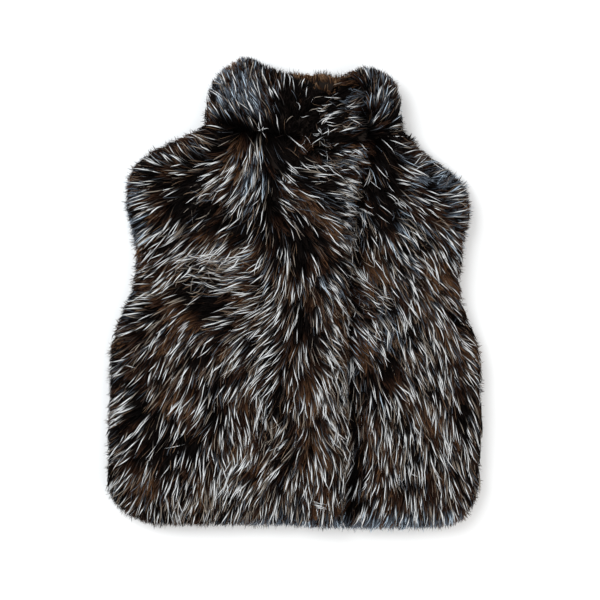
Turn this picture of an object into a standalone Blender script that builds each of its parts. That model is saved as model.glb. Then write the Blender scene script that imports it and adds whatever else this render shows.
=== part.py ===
"""Sleeveless vest of long faux fur with a stand collar, laid flat on its back with the fronts closed.

Metres, +Z up. +X is the wearer's left, +Y runs from the hem to the collar.
The origin is on the floor, under the middle of the outline.
Every fur cloth is one thick solid, its backing and its pile together.
"""

import math

import bmesh
import bpy
import numpy as np
from mathutils import Vector, noise

# Thickness of the layers, from the floor up
SEAM_GAP = 0.0003
BACK_PILE = 0.014
UNDER_PILE = 0.0097
FRONT_PILE = 0.026
COLLAR_PILE = 0.022
LAYER_STEP = UNDER_PILE + SEAM_GAP
FRONT_FLOOR = BACK_PILE + SEAM_GAP
COLLAR_FLOOR = FRONT_FLOOR + LAYER_STEP

# How the pile rounds off towards an edge, which keeps a share of the thickness
OUTER_RIM = {"width": 0.026, "left": 0.10}
FRONT_NECK_RIM = {"width": 0.018, "left": 0.62}
COLLAR_NECK_RIM = {"width": 0.014, "left": 0.42}
COLLAR_RIM = {"width": 0.020, "left": 0.12}
FLOOR_RIM = {"width": 0.016, "left": 0.12}
FACING_RIM = {"width": 0.009, "left": 0.30}

# The closing: the wearer's right front lies over the left one and steps up before it
LAP_WIDTH = 0.040
LAP_STEP_START = 0.057
LAP_STEP_END = 0.044
LAP_CLEAR = 0.003
LAP_FURROW = 0.024
COLLAR_STEP_START = 0.020
COLLAR_STEP_END = 0.036
COLLAR_CLEAR = 0.011
COLLAR_FURROW = 0.015

# Hem, and its round corners: where they start on the sides, and how far in each reaches along the hem
HEM = -0.297
CORNER_TOP = -0.240
HEM_CORNERS = {"left": 0.076, "right": 0.044}

# Outline of the body from the corners of the hem up to the neck, with a smooth curve through these sections
BODY_COLUMNS = ("up", "left", "right")
BODY_SECTIONS = (
    (CORNER_TOP, -0.240, 0.236),
    (-0.135, -0.237, 0.239),
    (-0.070, -0.235, 0.236),
    (-0.030, -0.224, 0.220),
    (0.010, -0.207, 0.212),
    (0.055, -0.204, 0.216),
    (0.115, -0.216, 0.226),
    (0.145, -0.214, 0.215),
    (0.175, -0.194, 0.174),
    (0.209, -0.126, 0.140),
    (0.214, -0.115, 0.138),
)

# Front edge of the overlapping front
EDGE_COLUMNS = ("up", "across")
EDGE_SECTIONS = (
    (HEM, 0.060),
    (-0.200, 0.072),
    (-0.130, 0.068),
    (0.025, 0.074),
    (0.115, 0.080),
    (0.183, 0.099),
)

# Ends of the neck seam on each panel
FRONT_NECK = EDGE_SECTIONS[-1][0]
LEFT_NECK = 0.209
RIGHT_NECK = BODY_SECTIONS[-1][0]
ROWS_LEVEL_BELOW = 0.040

# Free edges of the collar, each a smooth curve through a few points across and up
COLLAR_RIGHT_SIDE = ((-0.115, 0.214), (-0.110, 0.242), (-0.105, 0.270), (-0.091, 0.287))
COLLAR_RIGHT_TOP = ((-0.091, 0.287), (-0.060, 0.303), (-0.033, 0.291), (0.033, 0.262), (0.096, 0.224))
COLLAR_RIGHT_FRONT = ((0.099, 0.183), (0.101, 0.205), (0.096, 0.224))
COLLAR_LEFT_START = 0.072
COLLAR_LEFT_FRONT = ((0.052, 0.210), (0.049, 0.240), (0.052, 0.265))
COLLAR_LEFT_TOP = ((0.052, 0.265), (0.086, 0.290), (0.108, 0.286), (0.125, 0.275))
COLLAR_LEFT_SIDE = ((0.134, 0.235), (0.132, 0.262), (0.125, 0.275))
COLLAR_BACK_LEFT = ((-0.126, 0.209), (-0.115, 0.214), (-0.109, 0.245), (-0.095, 0.279))
COLLAR_BACK_TOP = ((-0.095, 0.279), (0.000, 0.285), (0.118, 0.275))
COLLAR_BACK_RIGHT = ((0.140, 0.209), (0.134, 0.240), (0.130, 0.263), (0.118, 0.275))
FACING_LEFT = ((-0.112, 0.218), (-0.107, 0.242), (-0.103, 0.264), (-0.092, 0.276))
FACING_TOP = ((-0.092, 0.276), (0.000, 0.282), (0.115, 0.273))
FACING_RIGHT = ((0.135, 0.213), (0.131, 0.240), (0.127, 0.262), (0.115, 0.273))
FACING_NECK = ((-0.112, 0.218), (0.069, 0.191), (0.135, 0.213))

# Largest folds and partings in the pile: a trough between two points, or a ridge if deep is negative
FOLD_COLUMNS = ("across_1", "up_1", "across_2", "up_2", "wide", "deep")
FOLDS = {
    "chest_parting_high": (-0.040, 0.190, -0.028, 0.125, 0.018, 0.009),
    "chest_parting_low": (-0.028, 0.125, -0.004, 0.032, 0.018, 0.009),
    "chest_parting_end": (-0.004, 0.032, 0.010, 0.008, 0.016, 0.006),
    "underarm_crease": (-0.190, -0.010, -0.115, -0.008, 0.018, 0.006),
    "bust_crease": (-0.115, -0.008, -0.040, 0.020, 0.018, 0.006),
    "centre_parting": (0.008, -0.002, 0.000, -0.120, 0.016, 0.006),
    "side_furrow": (-0.030, -0.135, -0.085, -0.230, 0.018, 0.005),
    "outer_furrow": (-0.105, -0.090, -0.165, -0.215, 0.018, 0.004),
    "left_chest_hollow": (0.110, 0.150, 0.124, 0.095, 0.022, 0.007),
    "left_shoulder_parting": (0.135, 0.160, 0.185, 0.095, 0.018, 0.004),
    "left_bust_crease": (0.110, -0.020, 0.165, 0.000, 0.018, 0.005),
    "left_side_furrow": (0.170, -0.050, 0.205, -0.165, 0.018, 0.004),
    "left_skirt_furrow": (0.120, -0.130, 0.110, -0.230, 0.018, 0.004),
    "shoulder_parting": (-0.150, 0.125, -0.095, 0.165, 0.018, 0.005),
    "armhole_parting": (-0.175, 0.110, -0.165, 0.045, 0.016, 0.004),
    "edge_roll_high": (0.062, 0.170, 0.052, 0.060, 0.016, -0.004),
    "edge_roll_low": (0.052, 0.060, 0.046, -0.240, 0.016, -0.004),
    "collar_lobe_roll": (-0.085, 0.222, -0.062, 0.288, 0.018, -0.005),
    "collar_lobe_parting": (-0.040, 0.215, -0.034, 0.272, 0.016, 0.006),
    "collar_front_hollow": (0.010, 0.212, 0.040, 0.226, 0.018, 0.005),
    "collar_left_roll": (0.114, 0.222, 0.106, 0.268, 0.016, -0.004),
}

# Soft lumps where the pile stands in clumps
CLUMP_ACROSS = 0.034
CLUMP_ALONG = 0.052
CLUMP_HEIGHT = 0.0035
CLUMP_PLACE = 0.5

# The right half of the hem hangs a little lower
HEM_SAG = {"across": 0.120, "wide": 0.075, "drop": 0.0054, "fades_over": 0.060}

# Spacing of the points of a piece: close together at a round edge, even between
RIM_STEPS = (0.0, 0.0018, 0.0058, 0.0120, 0.0200)
FRONT_STEP = 0.0110
BACK_STEP = 0.0240
COLLAR_STEP = 0.0085
COLLAR_BACK_STEP = 0.0170
FACING_STEP = 0.0136
UNDER_LAP_STEPS = 3

# Points on the lines of the outline: on each stretch of a curve, round a corner of the hem and up a side
CURVE_STEPS = 4
CORNER_STEPS = 8
SIDE_STEPS = 32

PILE_COLOURS = {
    "back": (0.030, 0.020, 0.016),
    "front_right": (0.036, 0.023, 0.017),
    "front_left": (0.034, 0.022, 0.016),
    "collar_back": (0.030, 0.020, 0.016),
    "collar_facing": (0.085, 0.052, 0.030),
    "collar_front_right": (0.030, 0.024, 0.022),
    "collar_front_left": (0.032, 0.024, 0.021),
}
PILE_ROUGHNESS = 0.85

# Edges of a solid sharper than this are not shaded round
SHARP_EDGE = 60.0


def between(value, start, end):
    """0 at start and before it, 1 at end and past it, straight in between."""
    return np.clip((value - start) / (end - start), 0.0, 1.0)


def smooth(share):
    """The same share with a soft start and end."""
    return share * share * (3.0 - 2.0 * share)


def looked_up(table, number, place):
    """A column of a table at other places along its first column, on a smooth curve through its rows."""
    places = np.array([row[0] for row in table])
    values = np.array([row[number] for row in table])
    slopes = np.gradient(values, places)
    place = np.clip(place, places[0], places[-1])
    row = np.clip(np.searchsorted(places, place, side="right") - 1, 0, len(places) - 2)
    span = places[row + 1] - places[row]
    share = (place - places[row]) / span
    straight = values[row] + (values[row + 1] - values[row]) * smooth(share)
    lean = slopes[row] * (1.0 - share) - slopes[row + 1] * share
    return straight + span * share * (1.0 - share) * lean


def curve(points):
    """A smooth line through a few points, as a tuple of closer points."""
    steps = np.linalg.norm(np.diff(np.array(points), axis=0), axis=1)
    reached = np.concatenate([[0.0], np.cumsum(steps)])
    table = [(place, across, up) for place, (across, up) in zip(reached, points)]
    places = np.linspace(0.0, reached[-1], CURVE_STEPS * len(steps) + 1)
    return tuple(zip(looked_up(table, 1, places), looked_up(table, 2, places)))


def corner_inset(up, reach):
    """How far an elliptic corner of the hem pulls the side in at these heights."""
    below = np.clip((CORNER_TOP - up) / (CORNER_TOP - HEM), 0.0, 1.0)
    return reach * (1.0 - np.sqrt(1.0 - below * below))


def body_left(up):
    side = looked_up(BODY_SECTIONS, BODY_COLUMNS.index("left"), up)
    return side + corner_inset(up, HEM_CORNERS["left"])


def body_right(up):
    side = looked_up(BODY_SECTIONS, BODY_COLUMNS.index("right"), up)
    return side - corner_inset(up, HEM_CORNERS["right"])


def front_edge(up):
    return looked_up(EDGE_SECTIONS, EDGE_COLUMNS.index("across"), up)


def body_outline():
    """The line down the left side, along the hem and up the right side."""
    turned = np.linspace(math.pi / 2, 0.0, CORNER_STEPS + 1)
    corner = CORNER_TOP - (CORNER_TOP - HEM) * np.sin(turned)
    side = np.linspace(CORNER_TOP, RIGHT_NECK, SIDE_STEPS + 1)[1:]
    up = np.concatenate([corner, side])
    left_side = list(zip(body_left(up), up))
    right_side = list(zip(body_right(up), up))
    return left_side[::-1] + right_side


def front_edge_line():
    up = np.linspace(HEM, FRONT_NECK, SIDE_STEPS + 1)
    return list(zip(front_edge(up), up))


def right_neck_line():
    """The neck seam of the wearer's right front, straight from the shoulder to the front edge."""
    return [(float(body_left(RIGHT_NECK)), RIGHT_NECK), (float(front_edge(FRONT_NECK)), FRONT_NECK)]


def left_neck_line():
    """The neck seam of the wearer's left front, straight from under the lap to the shoulder."""
    start = float(front_edge(FRONT_NECK)) - LAP_WIDTH
    return [(start, FRONT_NECK), (float(body_right(LEFT_NECK)), LEFT_NECK)]


def spaced(length, step, rims=(True, True)):
    """Positions from 0 to length, close together at a rim and even in between."""
    starts = list(RIM_STEPS) if rims[0] else [0.0]
    ends = [length - offset for offset in reversed(RIM_STEPS)] if rims[1] else [length]
    count = max(2, round((ends[0] - starts[-1]) / step))
    middle = list(np.linspace(starts[-1], ends[0], count + 1)[1:-1])
    return np.array(starts + middle + ends)


def along_line(line, shares):
    """Points at these shares of a line's length."""
    line = np.array(line)
    steps = np.linalg.norm(np.diff(line, axis=0), axis=1)
    reached = np.concatenate([[0.0], np.cumsum(steps)]) / steps.sum()
    return np.stack([np.interp(shares, reached, line[:, axis]) for axis in (0, 1)], axis=1)


def line_length(line):
    return float(np.linalg.norm(np.diff(np.array(line), axis=0), axis=1).sum())


def distance_to(line, across, up):
    """How far each point of a grid is from a line of points."""
    points = np.stack([across.ravel(), up.ravel()], axis=1)[:, None, :]
    start = np.array(line)[:-1][None]
    along = np.diff(np.array(line), axis=0)[None]
    length = np.maximum((along * along).sum(2), 1e-12)
    share = np.clip(((points - start) * along).sum(2) / length, 0.0, 1.0)
    nearest = start + share[..., None] * along
    return np.linalg.norm(points - nearest, axis=2).min(1).reshape(across.shape)


def inside_of(loop, across, up):
    """Which points of a grid lie inside a closed loop of points."""
    inside = np.zeros(across.shape, dtype=bool)
    for (x_1, y_1), (x_2, y_2) in zip(loop, loop[1:] + loop[:1]):
        if y_1 == y_2:
            continue
        crosses = (y_1 > up) != (y_2 > up)
        inside ^= crosses & (across < x_1 + (up - y_1) * (x_2 - x_1) / (y_2 - y_1))
    return inside


def rim_share(distance, rim):
    """The share of its thickness that the pile has at this distance from an edge, round like a circle."""
    inwards = 1.0 - np.clip(distance / rim["width"], 0.0, 1.0)
    return rim["left"] + (1.0 - rim["left"]) * np.sqrt(1.0 - inwards * inwards)


def thickness_share(across, up, edges):
    """The smallest share that any of the edges leaves, each given as its line and its rim."""
    shares = [rim_share(distance_to(line, across, up), rim) for line, rim in edges]
    return np.minimum.reduce(shares)


def pile_relief(across, up, share):
    """Clumps, folds and partings, which fade out where the pile is thin at a rim."""
    lumps = [
        noise.noise(Vector((x / CLUMP_ACROSS, y / CLUMP_ALONG, CLUMP_PLACE)))
        for x, y in zip(across.ravel(), up.ravel())
    ]
    relief = CLUMP_HEIGHT * np.array(lumps).reshape(across.shape)
    for row in FOLDS.values():
        fold = dict(zip(FOLD_COLUMNS, row))
        line = ((fold["across_1"], fold["up_1"]), (fold["across_2"], fold["up_2"]))
        away = distance_to(line, across, up)
        relief -= fold["deep"] * np.exp(-((away / fold["wide"]) ** 2))
    return relief * smooth(share)


def hem_sag(across, up):
    """The same heights along the garment with the hem's sag."""
    near = np.exp(-(((across - HEM_SAG["across"]) / HEM_SAG["wide"]) ** 2))
    fade = np.exp(-(up - HEM) / HEM_SAG["fades_over"])
    return up - HEM_SAG["drop"] * near * fade


def patch(bottom, right, top, left, step):
    """A grid of points that fills the space between four lines which meet at their ends."""
    width = 0.5 * (line_length(bottom) + line_length(top))
    height = 0.5 * (line_length(left) + line_length(right))
    u = spaced(width, step) / width
    v = spaced(height, step, rims=(False, True)) / height
    low, high = along_line(bottom, u)[None], along_line(top, u)[None]
    near, far = along_line(left, v)[:, None], along_line(right, v)[:, None]
    u, v = u[None, :, None], v[:, None, None]
    corners = (1 - u) * (1 - v) * low[:, :1] + u * (1 - v) * low[:, -1:]
    corners = corners + (1 - u) * v * high[:, :1] + u * v * high[:, -1:]
    points = (1 - v) * low + v * high + (1 - u) * near + u * far - corners
    return points[..., 0], points[..., 1]


def pile_material(name):
    material = bpy.data.materials.new(f"{name}_pile")
    material.use_nodes = True
    shader = material.node_tree.nodes["Principled BSDF"]
    shader.inputs["Base Color"].default_value = (*PILE_COLOURS[name], 1.0)
    shader.inputs["Roughness"].default_value = PILE_ROUGHNESS
    shader.inputs["Metallic"].default_value = 0.0
    return material


def grid_solid(name, across, up, bottom, top):
    """A closed solid between two surfaces over the same grid of points."""
    rows, columns = across.shape
    made = bmesh.new()
    low, high = (
        [
            [made.verts.new((across[j, i], up[j, i], height[j, i])) for i in range(columns)]
            for j in range(rows)
        ]
        for height in (bottom, top)
    )
    for j in range(rows - 1):
        for i in range(columns - 1):
            made.faces.new((high[j][i], high[j][i + 1], high[j + 1][i + 1], high[j + 1][i]))
            made.faces.new((low[j][i], low[j + 1][i], low[j + 1][i + 1], low[j][i + 1]))
        made.faces.new((low[j + 1][0], low[j][0], high[j][0], high[j + 1][0]))
        made.faces.new((low[j][-1], low[j + 1][-1], high[j + 1][-1], high[j][-1]))
    for i in range(columns - 1):
        made.faces.new((low[0][i], low[0][i + 1], high[0][i + 1], high[0][i]))
        made.faces.new((low[-1][i + 1], low[-1][i], high[-1][i], high[-1][i + 1]))
    mesh = bpy.data.meshes.new(name)
    made.to_mesh(mesh)
    made.free()
    mesh.shade_smooth()
    mesh.set_sharp_from_angle(angle=math.radians(SHARP_EDGE))
    mesh.materials.append(pile_material(name))
    return bpy.data.objects.new(name, mesh)


def panel_rows(left_top, right_top, step):
    """Heights of a panel's rows at its left and right ends: level below, then tilting to the neck seam."""
    top = max(left_top, right_top)
    rows = HEM + spaced(top - HEM, step, rims=(True, False))
    left = np.interp(rows, (ROWS_LEVEL_BELOW, top), (ROWS_LEVEL_BELOW, left_top))
    right = np.interp(rows, (ROWS_LEVEL_BELOW, top), (ROWS_LEVEL_BELOW, right_top))
    level = rows < ROWS_LEVEL_BELOW
    return np.where(level, rows, left), np.where(level, rows, right)


def on_rows(across, left, left_up, right, right_up):
    """The height along the garment of points on straight rows."""
    share = (across - left[:, None]) / (right - left)[:, None]
    return left_up[:, None] + (right_up - left_up)[:, None] * share


def make_back():
    """The back panel lies on the floor with its pile down, pressed flat but for a round rim."""
    up_rows = HEM + spaced(LEFT_NECK - HEM, BACK_STEP, rims=(True, False))
    left, right = body_left(up_rows), body_right(up_rows)
    width = float((right - left).max())
    shares = spaced(width, BACK_STEP) / width
    across = left[:, None] + (right - left)[:, None] * shares
    up = np.repeat(up_rows[:, None], len(shares), axis=1)
    share = thickness_share(across, up, [(body_outline(), FLOOR_RIM)])
    top = np.full(across.shape, BACK_PILE)
    return grid_solid("back", across, hem_sag(across, up), BACK_PILE * (1.0 - share), top)


def make_front_right():
    """The overlapping front: flat on the back panel, then a step up over the lap to its own edge."""
    left_up, right_up = panel_rows(RIGHT_NECK, FRONT_NECK, FRONT_STEP)
    left, edge = body_left(left_up), front_edge(right_up)
    width = float((edge - left).max())
    main = spaced(width - LAP_STEP_START, FRONT_STEP, rims=(True, False))
    main = main / main[-1]
    lap = spaced(LAP_STEP_END, FRONT_STEP, rims=(False, True))
    on_panel = left[:, None] + (edge - LAP_STEP_START - left)[:, None] * main
    on_lap = (edge - LAP_STEP_END)[:, None] + lap
    across = np.concatenate([on_panel, on_lap], axis=1)
    up = on_rows(across, left, left_up, edge, right_up)
    bottom = np.full(across.shape, FRONT_FLOOR)
    bottom[:, len(main):] += LAYER_STEP
    edges = [
        (body_outline(), OUTER_RIM),
        (front_edge_line(), OUTER_RIM),
        (right_neck_line(), FRONT_NECK_RIM),
    ]
    share = thickness_share(across, up, edges)
    top = bottom + FRONT_PILE * share + pile_relief(across, up, share)
    return grid_solid("front_right", across, hem_sag(across, up), bottom, top)


def make_front_left():
    """The underlapping front: thin where the other front lies on it, full past that front's edge."""
    left_up, right_up = panel_rows(FRONT_NECK, LEFT_NECK, FRONT_STEP)
    edge, right = front_edge(left_up), body_right(right_up)
    start, clear = edge - LAP_WIDTH, edge + LAP_CLEAR
    width = float((right - clear).max())
    rest = spaced(width, FRONT_STEP, rims=(True, True))
    under = np.arange(UNDER_LAP_STEPS) / UNDER_LAP_STEPS
    on_lap = start[:, None] + (clear - start)[:, None] * under
    on_panel = clear[:, None] + (right - clear)[:, None] * rest / width
    across = np.concatenate([on_lap, on_panel], axis=1)
    up = on_rows(across, start, left_up, right, right_up)
    bottom = np.full(across.shape, FRONT_FLOOR)
    edges = [(body_outline(), OUTER_RIM), (left_neck_line(), FRONT_NECK_RIM)]
    share = thickness_share(across, up, edges)
    full = FRONT_PILE * share + pile_relief(across, up, share)
    under_lap = np.minimum(UNDER_PILE, FRONT_PILE * share)
    rise = smooth(between(across - clear[:, None], 0.0, LAP_FURROW))
    top = bottom + under_lap + (full - under_lap) * rise
    return grid_solid("front_left", across, hem_sag(across, up), bottom, top)


def raised(line):
    """The same line a seam's gap higher up the garment."""
    return [(across, up + SEAM_GAP) for across, up in line]


def collar_right_free():
    """The free edge of the collar's right front, from the shoulder over the top and down to the neck seam."""
    side, top, front = curve(COLLAR_RIGHT_SIDE), curve(COLLAR_RIGHT_TOP), curve(COLLAR_RIGHT_FRONT)
    return list(side + top[1:] + front[-2::-1])


def make_collar_back():
    """The back of the collar lies on the floor behind the fronts, pile down."""
    neck = (COLLAR_BACK_LEFT[0], COLLAR_BACK_RIGHT[0])
    left, top, right = curve(COLLAR_BACK_LEFT), curve(COLLAR_BACK_TOP), curve(COLLAR_BACK_RIGHT)
    across, up = patch(neck, right, top, left, COLLAR_BACK_STEP)
    free = left + top + right[::-1]
    share = thickness_share(across, up, [(free, FLOOR_RIM)])
    top = np.full(across.shape, BACK_PILE)
    return grid_solid("collar_back", across, up + SEAM_GAP, BACK_PILE * (1.0 - share), top)


def make_collar_facing():
    """The fur inside the back of the collar, pile up, which shows above the fronts."""
    left, top, right = curve(FACING_LEFT), curve(FACING_TOP), curve(FACING_RIGHT)
    across, up = patch(FACING_NECK, right, top, left, FACING_STEP)
    free = left + top + right[::-1]
    share = thickness_share(across, up, [(free, FACING_RIM)])
    bottom = np.full(across.shape, FRONT_FLOOR)
    return grid_solid("collar_facing", across, up, bottom, bottom + UNDER_PILE * share)


def make_collar_front_left():
    """The wearer's left front of the collar, thin where the right one laps over it."""
    under, shoulder = left_neck_line()
    start_up = float(np.interp(COLLAR_LEFT_START, (under[0], shoulder[0]), (under[1], shoulder[1])))
    neck = ((COLLAR_LEFT_START, start_up), shoulder)
    front = curve((neck[0],) + COLLAR_LEFT_FRONT)
    side = curve((shoulder,) + COLLAR_LEFT_SIDE)
    end = curve(COLLAR_LEFT_TOP)
    across, up = patch(*(raised(line) for line in (neck, side, end, front)), COLLAR_STEP)
    free = front + end + side[::-1]
    edges = [(raised(free), COLLAR_RIM), (raised(neck), COLLAR_NECK_RIM)]
    share = thickness_share(across, up, edges)
    cover = collar_right_free()
    away = np.where(inside_of(cover, across, up), 0.0, distance_to(cover, across, up))
    full = COLLAR_PILE * share + pile_relief(across, up, share)
    under_lap = np.minimum(UNDER_PILE, full)
    rise = smooth(between(away, COLLAR_CLEAR, COLLAR_CLEAR + COLLAR_FURROW))
    bottom = np.full(across.shape, COLLAR_FLOOR)
    top = bottom + under_lap + (full - under_lap) * rise
    return grid_solid("collar_front_left", across, up, bottom, top)


def make_collar_front_right():
    """The wearer's right front of the collar, which laps over the left one."""
    neck = right_neck_line()
    lines = (neck, curve(COLLAR_RIGHT_FRONT), curve(COLLAR_RIGHT_TOP), curve(COLLAR_RIGHT_SIDE))
    across, up = patch(*(raised(line) for line in lines), COLLAR_STEP)
    edges = [(raised(collar_right_free()), COLLAR_RIM), (raised(neck), COLLAR_NECK_RIM)]
    share = thickness_share(across, up, edges)
    bottom = COLLAR_FLOOR + LAYER_STEP * between(across, COLLAR_STEP_START, COLLAR_STEP_END)
    top = bottom + COLLAR_PILE * share + pile_relief(across, up, share)
    return grid_solid("collar_front_right", across, up, bottom, top)


def clear_scene():
    for thing in list(bpy.data.objects):
        bpy.data.objects.remove(thing, do_unlink=True)


def make_vest():
    clear_scene()
    collection = bpy.data.collections.new("faux_fur_vest")
    bpy.context.scene.collection.children.link(collection)
    vest = bpy.data.objects.new("vest", None)
    collection.objects.link(vest)
    makers = (
        make_back,
        make_front_left,
        make_front_right,
        make_collar_back,
        make_collar_facing,
        make_collar_front_left,
        make_collar_front_right,
    )
    for make in makers:
        piece = make()
        collection.objects.link(piece)
        piece.parent = vest
    return vest


make_vest()
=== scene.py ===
"""A faux fur vest laid flat: thin cloth shells on the panels, dense underfur and pale guard hairs."""

import math

import bmesh
import bpy
import numpy as np
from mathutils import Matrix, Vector
from mathutils.bvhtree import BVHTree


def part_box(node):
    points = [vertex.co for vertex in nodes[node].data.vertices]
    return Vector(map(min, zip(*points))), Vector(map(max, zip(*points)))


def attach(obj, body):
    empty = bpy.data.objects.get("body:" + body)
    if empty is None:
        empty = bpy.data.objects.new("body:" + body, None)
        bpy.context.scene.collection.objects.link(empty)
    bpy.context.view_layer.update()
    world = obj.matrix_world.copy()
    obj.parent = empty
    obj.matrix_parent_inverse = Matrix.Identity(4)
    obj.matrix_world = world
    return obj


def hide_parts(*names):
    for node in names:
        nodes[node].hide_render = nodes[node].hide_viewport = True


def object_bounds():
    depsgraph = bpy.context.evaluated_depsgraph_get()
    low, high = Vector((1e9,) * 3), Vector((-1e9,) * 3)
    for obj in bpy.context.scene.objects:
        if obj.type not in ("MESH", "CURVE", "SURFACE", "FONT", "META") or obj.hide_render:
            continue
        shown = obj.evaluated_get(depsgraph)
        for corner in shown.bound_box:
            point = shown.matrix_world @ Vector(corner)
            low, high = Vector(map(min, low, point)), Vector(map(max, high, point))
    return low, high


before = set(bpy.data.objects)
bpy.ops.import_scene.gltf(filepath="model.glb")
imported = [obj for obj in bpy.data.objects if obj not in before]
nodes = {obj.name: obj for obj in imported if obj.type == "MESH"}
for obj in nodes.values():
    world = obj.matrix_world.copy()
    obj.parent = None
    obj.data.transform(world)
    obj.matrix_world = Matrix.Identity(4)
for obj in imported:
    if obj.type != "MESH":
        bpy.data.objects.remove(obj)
cad_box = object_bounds()
MM = 0.001

# Scale of the photograph in millimetres a pixel, and its pixel over the middle of the garment
PIXEL_MM = 1.27
MIDDLE_ACROSS = 294
MIDDLE_DOWN = 294

# Hair directions judged at the partings, the crests and between them
# Columns: pixel across, pixel down, and where the tips point in degrees from the wearer's left
FRONT_RIGHT_FLOW = (
    (153, 157, 153), (174, 155, 134), (198, 154, 127), (141, 174, 172), (140, 192, 192), (134, 222, 202),
    (170, 190, 190), (186, 186, 208), (212, 170, 204), (210, 145, 163), (157, 225, 230), (173, 218, 247),
    (233, 172, 237), (252, 162, 262), (266, 161, 283), (221, 192, 222), (254, 200, 237), (268, 188, 262),
    (196, 220, 215), (213, 250, 236), (256, 222, 250), (238, 244, 207), (280, 212, 318), (276, 257, 266),
    (303, 152, 198), (279, 164, 338), (330, 150, 350), (312, 180, 350), (285, 198, 330), (298, 210, 322),
    (316, 215, 303), (349, 205, 342), (347, 230, 347), (344, 258, 326), (328, 240, 308), (302, 258, 282),
    (162, 270, 228), (142, 283, 195), (210, 275, 164), (251, 270, 193), (252, 297, 187), (281, 283, 250),
    (305, 276, 275), (328, 294, 307), (291, 311, 262), (134, 316, 177), (120, 345, 204), (152, 332, 224),
    (170, 342, 237), (214, 321, 186), (210, 350, 234), (158, 368, 248), (128, 388, 221), (264, 314, 212),
    (270, 344, 210), (304, 332, 270), (328, 354, 315), (296, 372, 276), (240, 364, 238), (220, 384, 252),
    (266, 378, 220), (120, 414, 207), (119, 446, 223), (149, 438, 238), (172, 420, 245), (202, 424, 236),
    (117, 482, 230), (150, 482, 249), (182, 495, 254), (222, 450, 275), (238, 430, 289), (238, 402, 264),
    (262, 424, 261), (288, 428, 243), (304, 412, 272), (322, 402, 293), (334, 440, 301), (276, 450, 230),
    (252, 480, 236), (325, 478, 269), (162, 508, 273), (136, 500, 238), (206, 508, 260), (285, 508, 264),
    (324, 522, 271), (352, 168, 353), (340, 192, 350), (360, 190, 348), (354, 222, 350), (352, 245, 345),
)
FRONT_LEFT_FLOW = (
    (388, 156, 313), (403, 172, 324), (420, 188, 332), (378, 172, 282), (388, 187, 294), (400, 188, 5),
    (411, 150, 358), (430, 169, 40), (450, 186, 32), (464, 204, 18), (463, 226, 3), (452, 238, 305),
    (427, 208, 330), (403, 212, 315), (418, 224, 303), (390, 230, 289), (372, 250, 269), (398, 254, 300),
    (421, 258, 320), (437, 264, 287), (458, 258, 316), (383, 278, 300), (452, 284, 312), (368, 300, 312),
    (398, 316, 302), (426, 308, 293), (460, 312, 320), (402, 337, 266), (415, 341, 295), (441, 332, 288),
    (472, 336, 329), (360, 342, 312), (388, 364, 302), (418, 366, 284), (442, 366, 278), (476, 374, 303),
    (356, 380, 261), (379, 386, 281), (392, 385, 306), (420, 392, 297), (370, 408, 264), (392, 410, 283),
    (448, 420, 267), (460, 420, 298), (477, 430, 294), (374, 442, 262), (414, 456, 272), (450, 450, 286),
    (362, 484, 246), (404, 480, 281), (430, 494, 277), (473, 494, 298), (358, 516, 255), (388, 514, 259),
    (436, 514, 269), (470, 510, 290),
)
COLLAR_RIGHT_FLOW = (
    (231, 62, 120), (243, 68, 98), (256, 64, 86), (214, 82, 150), (222, 93, 113), (240, 92, 97),
    (258, 90, 106), (276, 97, 127), (217, 117, 137), (235, 116, 113), (248, 109, 120), (276, 114, 112),
    (292, 90, 66), (300, 103, 76), (286, 130, 60), (309, 130, 262), (283, 142, 205), (307, 140, 228),
    (324, 104, 202), (334, 113, 206), (333, 122, 170), (328, 136, 182), (345, 119, 197), (338, 134, 192),
    (358, 128, 190), (366, 146, 352),
)
COLLAR_LEFT_FLOW = (
    (366, 78, 88), (382, 90, 93), (379, 106, 72), (392, 88, 50), (396, 100, 60), (386, 119, 60),
    (355, 90, 215), (360, 104, 206), (348, 106, 210), (398, 129, 20), (386, 134, 352),
)
FACING_FLOW = ((247, 81, 100), (294, 77, 80), (318, 81, 120), (341, 85, 70), (365, 80, 95))

# The same on the side that lies on the floor: millimetres across and up, and where the tips point
BACK_FLOW = (
    (0, 0, 270), (-200, -150, 250), (200, -150, 290), (-200, 60, 235), (200, 60, 305), (-190, 160, 215),
    (190, 160, 325), (0, -280, 270), (-180, -280, 255), (180, -280, 285), (0, 260, 90), (-110, 250, 150),
    (130, 250, 30),
)

# Tones of the hair, one column of the palette each, in the order of their names
# Columns: the colour at the root, along the middle and at the tip
BLACK, DARK_BROWN, BROWN, BLUE_GREY, WHITE, CREAM, ICE, TAN = range(8)
# Ice, and blue-grey where the cool sheen places pick it, are a painted cool sheen of light on the dark hair;
# blue-grey is also drawn at random as a tone of the hair
PALETTE = (
    ((0.0004, 0.0003, 0.0003), (0.0018, 0.0011, 0.0009), (0.0064, 0.0044, 0.0038)),
    ((0.0008, 0.0004, 0.0003), (0.013, 0.0057, 0.0033), (0.045, 0.0225, 0.0138)),
    ((0.003, 0.0014, 0.0009), (0.05, 0.0235, 0.0112), (0.13, 0.069, 0.036)),
    ((0.002, 0.0024, 0.0031), (0.038, 0.046, 0.058), (0.175, 0.208, 0.252)),
    ((0.006, 0.0046, 0.0038), (0.69, 0.7, 0.705), (0.9, 0.915, 0.93)),
    ((0.005, 0.0036, 0.0027), (0.215, 0.18, 0.145), (0.45, 0.385, 0.315)),
    ((0.006, 0.007, 0.0086), (0.34, 0.415, 0.495), (0.62, 0.73, 0.83)),
    ((0.006, 0.0032, 0.0016), (0.095, 0.053, 0.028), (0.26, 0.164, 0.093)),
)

# How brown the underfur is: everywhere, by patches, by speckles, in the brown places, and how much less
# where shade is painted in hollows and the furrow
BROWNNESS = (0.42, 0.42, 0.2, 0.55, 0.9)

# The browns of the underfur: where each starts, and how far single strands stray from that
BROWN_STARTS = ((DARK_BROWN, 0.36, 0.35), (BROWN, 0.88, 0.5))
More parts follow.
